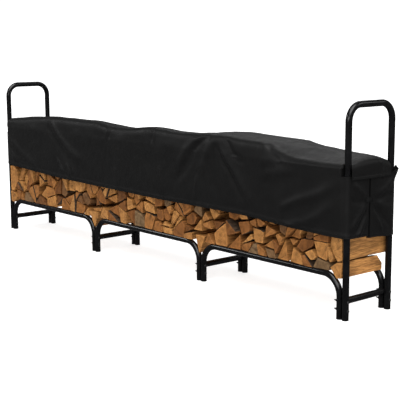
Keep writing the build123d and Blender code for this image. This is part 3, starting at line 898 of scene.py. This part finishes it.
class HalfCover:
    """One half of the cover in one sheet: half the top, one long side and its two end flaps.
    Rows run from the middle seam down to the hem, and columns from one slit to the other."""

    def __init__(self, side):
        self.side, self.name = side, "front" if side < 0 else "back"
        self.slit = slit_front if side < 0 else slit_back
        x, y, run, self.gap_at, self.corner_at = plan_of(side)
        self.plan_x = np.concatenate([-x[:0:-1], x])
        self.plan_y = np.concatenate([y[:0:-1], y])
        self.run = np.concatenate([-run[:0:-1], run])
        self.on_top = np.abs(self.run) <= self.gap_at + 1e-6
        self.on_end = smooth_step(-0.012, 0.012, np.abs(self.run) - self.corner_at)
        self.hem = line_of(front_hem, self.plan_x, 0.05)
        if side > 0:  # the back flaps dip towards the rear corner
            self.hem -= back_drop + flap_dip * self.on_end * smooth_step(0.0, 0.16, self.plan_y)
        self.x, self.y, self.z = self.laid_out()
        arc = np.hypot(*(np.diff(grid[:rows_over], axis=0) for grid in (self.y, self.z)))
        self.height = self.z.copy()  # up the cloth, so past the eaves it runs on over the shoulder
        self.height[: rows_over - 1] = sides_top + np.cumsum(arc[::-1], axis=0)[::-1]
        self.height[rows_over - 1] = sides_top

    def laid_out(self):
        """Where the cloth would lie without its folds: grids of x, y and z."""
        columns = len(self.run)
        across = np.clip(self.plan_x, -leg_gap_x, leg_gap_x)
        top_y, top_z = section(across, self.side, rows_over, self.plan_y)
        gap_z = np.linspace(sides_top, flap_top, rows_gap + 1)[1:]
        sill_rows = flap_top - np.array((0.004, 0.010))[:, None] + np.zeros(columns)
        down = np.linspace(0, 1, rows_low - 5)[1:, None]
        middle_rows = sill_rows[-1] + down * (self.hem + hem_band + 0.002 - sill_rows[-1])
        hem_offsets = (hem_band - 0.001, hem_band - 0.005, 0.006, 0.001, 0.0)
        low = np.concatenate([sill_rows, middle_rows, self.hem + np.array(hem_offsets)[:, None]])
        y = np.concatenate([top_y.T, np.tile(self.plan_y, (rows_gap + len(low), 1))])
        z = np.concatenate([top_z.T, np.tile(gap_z[:, None], (1, columns)), low])
        return np.tile(self.plan_x, (len(z), 1)), y, z

    def fold_lift(self):
        """How far folds, waves and crumples lift the cloth."""
        x, y, height = self.x, self.y * self.side, self.height
        flat_run, level = np.tile(self.run, (len(x), 1)), np.zeros_like(x)
        lift = folded(x, height, front_folds if self.side < 0 else back_folds) * (1 - self.on_end)
        seed = 3 if self.side < 0 else 8
        near_leg = smooth_step(self.gap_at - 0.10, self.gap_at, np.abs(self.run))
        hang = smooth_step(0.86, 0.50, height)
        waves = ripple(7.0, seed, flat_run, level, height * 0.30)
        lift += wave_height * waves * (0.25 + 0.75 * hang) * (1 - 0.8 * near_leg)
        crumples = ripple(24.0, seed + 1, flat_run, level, height * 0.75)
        lift += crumple_height * crumples * (1 - 0.7 * near_leg)
        lift += self.on_end * end_folds(y, height)
        lift += hem_standoff * hang**2 * (1 - near_leg)  # the hem stands off the logs a little
        over = np.arange(len(x))[:, None] < rows_over
        lift *= np.where(over, smooth_step(0.010, 0.070, self.y), 1.0)
        return lift + settle_height * ripple(6.0, 5, x, y, level) * smooth_step(0.86, 0.90, height)

    def band_lift(self):
        """Bands of double cloth: the middle seam, the notches round the hoops, the slits and the hem."""
        doubled = (self.z < self.hem + hem_band) * 1.0
        doubled[-1] = 0.4
        doubled[:3] = 1
        from_gap = np.abs(self.run) - self.gap_at
        notch = (np.abs(from_gap) < edge_band * 0.9) & (self.z > flap_top) & self.on_top
        sill = (from_gap >= -1e-6) & (self.z > flap_top - 0.006)
        slit_edge = np.abs(self.y * self.side - self.slit) < edge_band
        slit_edge &= np.abs(self.x) > wrap_x - 0.003
        lap = front_lap if self.side < 0 else back_lap
        return band_height * np.clip(doubled + notch + sill + slit_edge, 0, 1) + slit_edge * lap

    def shaped(self):
        """The finished outer face: folded, pulled at the slits and kept off the logs."""
        side, run, gap_at, height = self.side, self.run, self.gap_at, self.height
        points = np.stack([self.x, self.y * side, self.z], -1)
        normal = facing(points, -side)
        lift = self.fold_lift() + self.band_lift()
        if side > 0:  # the top of the right-hand flap stands away behind the rear leg
            behind = smooth_step(gap_at, gap_at + 0.010, run)
            behind = behind - smooth_step(gap_at + 0.030, gap_at + 0.070, run)
            behind = behind * smooth_step(0.735, flap_top, self.z)
            lift += corner_out * behind
            lean = 1 - 0.5 * smooth_step(gap_at + 0.008, gap_at + 0.030, run)
            points[..., 2] += corner_up * behind * lean
        near_notch = smooth_step(gap_at - 0.060, gap_at, np.abs(run)) * self.on_top
        in_front = smooth_step(leg_y + 0.016, leg_y + 0.026, self.y) * smooth_step(0.836, 0.848, self.z)
        points[..., 0] += np.sign(self.x) * notch_spread * near_notch * in_front
        if side > 0:  # the back flap's edge is tucked under the front flap
            tucked = (np.abs(run) > run.max() - 0.001) * smooth_step(flap_top - 0.002, 0.780, self.z)
            points[..., 0] -= np.sign(self.x) * tuck_in * tucked
            points[..., 1] -= tuck_across * tucked
        beside_slit = self.on_end * smooth_step(0.030, 0, np.abs(points[..., 1] - self.slit))
        from_closure = 1 - np.exp(-(((height - closure_z) / 0.035) ** 2))
        opened = beside_slit * from_closure * smooth_step(flap_top, 0.760, height)
        points[..., 1] += side * slit_opening * opened
        points = points + normal * lift[..., None]
        hanging = (height < eaves_z - 0.021) & self.on_top
        nearest = side * np.maximum(side * points[..., 1], self.plan_y - nearest_logs)
        points[..., 1] = np.where(hanging, nearest, points[..., 1])
        points[0, :, 1] = 0
        return points

    def made(self):
        """The sheet as a piece, and the points of its outer face."""
        points = self.shaped()
        use = np.ones_like(self.x, bool)
        use[: rows_over + rows_gap - 1] = self.on_top[None]  # the notches round the legs stay open
        index = -np.ones(use.shape, int)
        index[use] = np.arange(use.sum())
        faces = quads(index, flip=self.side > 0)
        materials = [cloth_material, slit_shade_material]
        cloth = new_object(f"cover_cloth_{self.name}", points[use], faces, materials, smooth_angle=60)
        if self.side > 0:  # the dark strip, painted shade for the slit's shadow line, runs down the edge beside each slit
            columns = np.arange(len(self.run))
            slit_shade_faces = (np.isin(columns, (0, len(columns) - 2)) & (self.z < flap_top - 0.012))[use]
            cloth.data.polygons.foreach_set("material_index", [int(slit_shade_faces[face[-1]]) for face in faces])
        flat_run = np.tile(self.run, (len(self.x), 1))
        add_cloth_map(cloth, np.stack([flat_run[use], self.height[use]], 1))
        return thickened(cloth, fabric, -1.0, 60), points


def thickened(made, thickness, offset, smooth_angle=None):
    """Gives a sheet its thickness: inward from its outer face, or to both sides with offset 0."""
    modifier = made.modifiers.new("thickness", "SOLIDIFY")
    modifier.thickness, modifier.offset, modifier.use_rim = thickness, offset, True
    bpy.context.view_layer.update()
    evaluated = made.evaluated_get(bpy.context.evaluated_depsgraph_get())
    mesh = bpy.data.meshes.new_from_object(evaluated)
    made.modifiers.clear()
    made.data = mesh
    if smooth_angle:
        mesh.shade_smooth()
        mesh.set_sharp_from_angle(angle=math.radians(smooth_angle))
    return made


def end_folds(y, height):
    """Folds on the end flaps, drawn to the point where the closure pulls the slit shut."""
    billow = np.sin(np.clip(np.abs(y) / 0.2, 0, 1) * np.pi) * smooth_step(0, 0.10, np.abs(y - slit_front))
    return (folded(y, height, flap_folds) + 0.004 * billow) * (1 - smooth_step(0.74, 0.785, height))


def add_cloth_map(made, flat):
    """Writes where each point lies on the flat cloth, in metres, for the weave."""
    layer = made.data.uv_layers.new(name="cloth")
    corners = np.array([loop.vertex_index for loop in made.data.loops])
    layer.data.foreach_set("uv", flat[corners].astype(np.float32).ravel())


cover_front, front_points = HalfCover(-1).made()
cover_back, back_points = HalfCover(1).made()


def tongue(end, name):
    """One end of the top panel. Past the stack it passes between the hoop's legs, slopes down and
    hangs over the tops of the end flaps as a valance."""
    low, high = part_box(f"cover_tongue_{name}")
    outer_x = high.x if end > 0 else -low.x
    across = np.concatenate([
        [-tongue_half, -tongue_half + 0.004],
        np.linspace(-tongue_half + edge_band, tongue_half - edge_band, 33),
        [tongue_half - 0.004, tongue_half],
    ])
    (front_y, front_z), (back_y, back_z) = section_by_legs(end, -1), section_by_legs(end, 1)
    line_y = np.concatenate([-front_y[::-1], back_y[1:]])
    start_z = np.interp(across, line_y, np.concatenate([front_z[::-1], back_z[1:]]))
    rows = 34
    xs, zs = [], []
    for z0, y in zip(start_z, across):
        bow = tongue_bow * math.cos(y / tongue_half * math.pi / 2)
        knots = [(leg_gap_x, z0), (leg_gap_x + 0.016, z0 - 0.002), (outer_x - 0.008, z0 - 0.014)]
        knots += [(outer_x + bow * 0.6, z0 - 0.034), (outer_x + bow, low.z)]
        fine = np.linspace(0, along_path(knots)[-1], 160)
        x, z = soft_curve(knots, fine, 0.006)
        x[0], z[0], z[-1] = leg_gap_x, z0, low.z
        s = np.concatenate([
            np.linspace(0, fine[-1] - hem_band * 0.6, rows),
            fine[-1] - np.array((hem_band * 0.55, 0.009, 0.004, 0.001, 0.0)),
        ])
        xs.append(np.interp(s, fine, x))
        zs.append(np.interp(s, fine, z))
    x, z = np.array(xs).T, np.array(zs).T
    y = np.tile(across, (len(x), 1))
    past_leg = np.clip(x - hoop_x, 0, tube_radius * 0.86)  # the edges follow the legs round
    half_there = leg_y + 0.0010 - np.sqrt((tube_radius + 0.0018) ** 2 - past_leg**2)
    half_there += (leg_y + 0.002 - half_there) * smooth_step(hoop_x + tube_radius * 0.9, outer_x - 0.004, x)
    rear_half = tongue_half - tongue_give * smooth_step(leg_gap_x, outer_x - 0.010, x)
    y = y * np.where(y < 0, np.maximum(half_there, tongue_half), rear_half) / tongue_half
    points = np.stack([end * x, y, z], -1)
    normal = facing(points, end)
    down = np.clip((np.arange(len(x)) / rows), 0, 1)[:, None]
    lift = tongue_wave * ripple(16.0, 21 + end, y, z * 0.35, np.zeros_like(y)) * smooth_step(0.1, 0.6, down)
    upright = np.exp(-(((y + end * 0.02) - 0.085) / 0.010) ** 2) * smooth_step(0.2, 0.5, down)
    lift += tongue_crease * upright
    doubled = (np.abs(across) > tongue_half - edge_band * 0.9) | (z < low.z + hem_band * 0.57)
    lift = np.maximum(lift, -0.0015) + band_height * doubled
    lift[0] = np.where(np.abs(across) > tongue_half - 0.006, band_height, 0)
    points = points + normal * lift[..., None]
    faces = quads(np.arange(x.size).reshape(x.shape), flip=end < 0)
    made = new_object(f"cover_end_{name}", points.reshape(-1, 3), faces, [cloth_material])
    add_cloth_map(made, np.stack([y.ravel(), np.hypot(x, z).ravel()], 1))
    return thickened(made, fabric, -1.0, 60), points


def gussets(ends):
    """A strip of cloth round the inside of each leg's notch, sewn under the top panel's edges."""
    across, along, inner = leg_y + 0.030, hoop_x + wrap_radius + 0.003, tongue_half - 0.003
    by_front, rows = 9, 8
    route = [(leg_gap_x - 0.0006, t) for t in np.linspace(across, inner, by_front)]
    route += [(t, inner) for t in np.linspace(leg_gap_x + 0.004, along, 8)]
    strip = np.arange(len(route) * (rows + 1)).reshape(len(route), rows + 1).T
    points, faces, flat = [], [], []
    for end in (-1, 1):
        for side in (-1, 1):
            edge_y, edge_z = section_by_legs(end, side)
            edge = ends[end][:, 0 if side < 0 else -1]
            made = []
            for k, ((x, y), run) in enumerate(zip(route, along_path(route))):
                beside = (y, edge_y, edge_z) if k < by_front else (x, edge[:, 0] * end, edge[:, 2])
                top = np.interp(*beside) - 0.003
                low = min(flap_top - 0.012, top - 0.01)
                for share in np.arange(rows + 1) / rows:
                    sag = 0.0012 * math.sin(math.pi * share) * math.sin(run * 60 + end + side)
                    sag_x, sag_y = (0, 0) if k < by_front else (sag, sag)
                    made.append((end * (x + sag_x), side * (y + sag_y), top + (low - top) * share))
                    flat.append((run, share * 0.08))
            add_shape(points, faces, made, quads(strip, flip=end * side > 0))
    made = new_object("leg_gusset_set", points, faces, [cloth_material])
    add_cloth_map(made, np.array(flat))
    thickened(made, 0.0008, 0.0)
    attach(made, "cover")
    return made


# ---- stitching ----
stitch_pitch, stitch_length, stitch_radius = 0.0045, 0.0036, 0.00045
stitch_faces = ((0, 2, 1), (0, 1, 3), (0, 3, 4), (0, 4, 2), (5, 1, 2), (5, 3, 1), (5, 4, 3), (5, 2, 4))


def stitches(name, rows):
    """Short threads laid end to end along each row, a row being a path and its outward directions."""
    points, faces = [], []
    for path, outward in rows:
        run = along_path(path)

        def at(values, distance):
            return np.array([np.interp(distance, run, values[:, k]) for k in range(3)])

        for here in np.arange(stitch_pitch, run[-1] - stitch_pitch, stitch_pitch):
            a, b = at(path, here - stitch_length / 2), at(path, here + stitch_length / 2)
            middle, out = at(path, here), at(outward, here)
            side = np.cross(b - a, out)
            side = side / (np.linalg.norm(side) + 1e-12) * stitch_radius
            rise = out * stitch_radius
            thread = (a, middle + rise * 1.6, middle + side, middle - side, middle - rise * 0.4, b)
            add_shape(points, faces, thread, stitch_faces)
    return new_object(name, points, faces, [thread_material], smooth_angle=80)


def level_outward(path, side_hint):
    """Outward directions of a level path round the rack."""
    along = np.gradient(path, axis=0)
    out = np.stack([along[:, 1], -along[:, 0], np.zeros(len(path))], 1) * side_hint
    return out / np.linalg.norm(out, axis=1)[:, None]


def top_row(points, row):
    """The part of a row that lies on the top panel."""
    path = points[row][np.abs(points[row][:, 0]) <= leg_gap_x]
    return path, np.tile((0.0, 0.0, 1.0), (len(path), 1))


end_right, end_right_points = tongue(1, "right")
end_left, end_left_points = tongue(-1, "left")
gusset_set = gussets({1: end_right_points, -1: end_left_points})

front_stitches, back_stitches = (
    stitches(f"hem_stitches_{row}", [(points[r], level_outward(points[r], turn)) for r in (-3, -4)])
    for row, points, turn in (("front", front_points, 1), ("back", back_points, -1))
)
seam_stitches = stitches("seam_stitches", [top_row(front_points, 1), top_row(back_points, 1)])
end_out = np.tile((1.0, 0.0, 0.0), (len(end_right_points[-3]), 1))
valance_stitches = stitches(
    "valance_stitches", [(end_right_points[-3], end_out), (end_left_points[-3], -end_out)]
)

for piece, side, body, row_name in (
    (cover_front, -1, "front_cover", "front"),
    (cover_back, 1, "back_cover", "back"),
):
    flaps = [f"cover_flap_{row_name}_{end}" for end in ("left", "right")]
    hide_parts(f"cover_skirt_{row_name}", *flaps, "cover_top")
    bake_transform(piece)
for piece, name in ((end_left, "left"), (end_right, "right")):
    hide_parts(f"cover_tongue_{name}")
    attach(piece, "cover")
for piece, body in (
    (front_stitches, "front_cover"),
    (back_stitches, "back_cover"),
    (seam_stitches, "cover"),
    (valance_stitches, "cover"),
):
    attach(piece, body)


# ---- straps ----
strap_thickness, tab_thickness = 0.0013, 0.0014
strap_turns, strap_lap = 1.22, 0.0010  # its end overlaps its start


def strap(path, outward, width, thickness):
    """A flat strap along a path: outward is the way its face looks. Returns points and faces."""
    along = np.gradient(path, axis=0)
    across = np.cross(along, outward)
    across /= np.linalg.norm(across, axis=1)[:, None]
    corners = ((-1, 0), (-0.9, 1), (0.9, 1), (1, 0), (0.9, -1), (-0.9, -1))
    points, faces = [], []
    for p, a, o in zip(path, across, outward):
        points += [p + a * c[0] * width / 2 + o * c[1] * thickness / 2 for c in corners]
    count = len(corners)
    return points, rings(len(path), count) + caps(len(path), count)


def strap_set():
    """A strap round each hoop leg, with its end lapped over and pressed down."""
    low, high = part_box("leg_straps")
    z, width = (low.z + high.z) / 2, high.z - low.z
    radius = tube_radius + 0.0012
    points, faces = [], []
    for end in (-1, 1):
        for side in (-1, 1):
            turns = np.linspace(0, 2 * math.pi * strap_turns, 60)
            turns = turns * end * side + math.radians(90 if side > 0 else -90)
            lap = smooth_step(0.75, 0.85, np.linspace(0, 1, len(turns))) * strap_lap
            out = np.stack([np.cos(turns), np.sin(turns), np.zeros(len(turns))], 1)
            path = out * (radius + lap)[:, None] + np.array((end * hoop_x, side * leg_y, z))
            add_shape(points, faces, *strap(path, out, width, strap_thickness))
    made = mended(new_object("leg_strap_set", points, faces, [strap_material], smooth_angle=50))
    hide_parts("leg_straps")
    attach(made, "cover")


def closure_set():
    """The tab of webbing that holds each slit shut, sewn to the front flap with a crossed box."""
    points, faces, rows = [], [], []
    y0, y1 = closure_low.y + 0.004, closure_low.y + 0.022
    z0, z1 = closure_low.z + 0.004, closure_high.z - 0.004
    routes = ([(y0, z0), (y1, z0), (y1, z1), (y0, z1), (y0, z0), (y1, z1)], [(y1, z0), (y0, z1)])
    count = 15
    for end in (-1, 1):
        out = np.tile((float(end), 0.0, 0.0), (count, 1))
        x = end * (wrap_x + 0.0017 + 0.0010 * np.sin(np.linspace(0, math.pi, count)))
        across = np.linspace(closure_low.y, closure_high.y, count)
        path = np.stack([x, across, np.full(count, closure_z)], 1)
        add_shape(points, faces, *strap(path, out, closure_width, tab_thickness))
        for route in routes:
            line = np.array([(end * (wrap_x + 0.0030), y, z) for y, z in route])
            rows.append((line, out[: len(line)]))
    made = mended(new_object("closure_tab_set", points, faces, [strap_material], smooth_angle=50))
    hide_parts("cover_closure_tabs")
    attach(made, "front_cover")
    sewn = stitches("closure_stitches", rows)
    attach(sewn, "front_cover")


strap_set()
closure_set()


# ---- floor, light and camera ----
def studio():
    floor_radius, sides = 60.0, 96
    points, _ = turned([(floor_radius, 0.0)], sides)
    pale = Shading(
        "pale_floor", (0.6, 0.6, 0.6), 0.9, 0.1, Emission_Color=(1, 1, 1, 1), Emission_Strength=0.78
    )
    floor = new_object("floor", points, [tuple(range(sides))], [pale.material])
    floor.visible_glossy = False

    world = bpy.data.worlds.new("studio")
    bpy.context.scene.world = world
    world.use_nodes = True
    nodes, links = world.node_tree.nodes, world.node_tree.links
    rays = nodes.new("ShaderNodeLightPath")
    choice = nodes.new("ShaderNodeMixShader")
    links.new(rays.outputs["Is Camera Ray"], choice.inputs[0])
    backgrounds = (nodes["Background"], 0.10), (nodes.new("ShaderNodeBackground"), 1.1)
    for slot, (background, strength) in enumerate(backgrounds, 1):  # as a light, and as it is seen
        background.inputs["Color"].default_value = (1, 1, 1, 1)
        background.inputs["Strength"].default_value = strength
        links.new(background.outputs[0], choice.inputs[slot])
    links.new(choice.outputs[0], nodes["World Output"].inputs["Surface"])

    def light(name, kind, energy, where, target, size=None, size_y=None, angle=None):
        data = bpy.data.lights.new(name, kind)
        data.energy = energy
        if kind == "AREA":
            data.shape = "RECTANGLE"
            data.size, data.size_y = size, size_y
        if angle:
            data.angle = math.radians(angle)
        made = bpy.data.objects.new(name, data)
        made.location = where
        made.rotation_mode = "QUATERNION"
        made.rotation_quaternion = (Vector(target) - Vector(where)).to_track_quat("-Z", "Y")
        made.visible_camera = False
        bpy.context.scene.collection.objects.link(made)

    light("key", "SUN", 4.0, (2.2, -1.9, 5.0), (0, 0, 0), angle=60)
    light("front_box", "AREA", 90, (3.4, -5.2, 2.4), (0.6, 0, 0.5), 5.0, 1.2)
    light("left_box", "AREA", 150, (-7.0, -5.6, 4.4), (0, 0, 0.8), 3.4, 1.6)
    light("rear_box", "AREA", 41, (-1.4, 2.8, 4.2), (1.2, 0, 0.9), 3.4, 2.0)
    light("right_box", "AREA", 16, (4.4, 2.8, 3.0), (1.8, 0, 0.65), 1.6, 1.0)


studio()
bpy.context.scene.view_settings.view_transform = "Standard"

camera_place = (5.218, -4.109, 1.512)
camera_yaw, camera_down, camera_roll = 49.705, 9.248, -0.336  # degrees
camera_data = bpy.data.cameras.new("camera")
camera_data.sensor_width, camera_data.lens = 36.0, 87.2
camera = bpy.data.objects.new("camera", camera_data)
camera.matrix_world = (
    Matrix.Translation(camera_place)
    @ Matrix.Rotation(math.radians(camera_yaw), 4, "Z")
    @ Matrix.Rotation(math.radians(90 - camera_down), 4, "X")
    @ Matrix.Rotation(math.radians(camera_roll), 4, "Z")
)
bpy.context.scene.collection.objects.link(camera)
bpy.context.scene.camera = camera
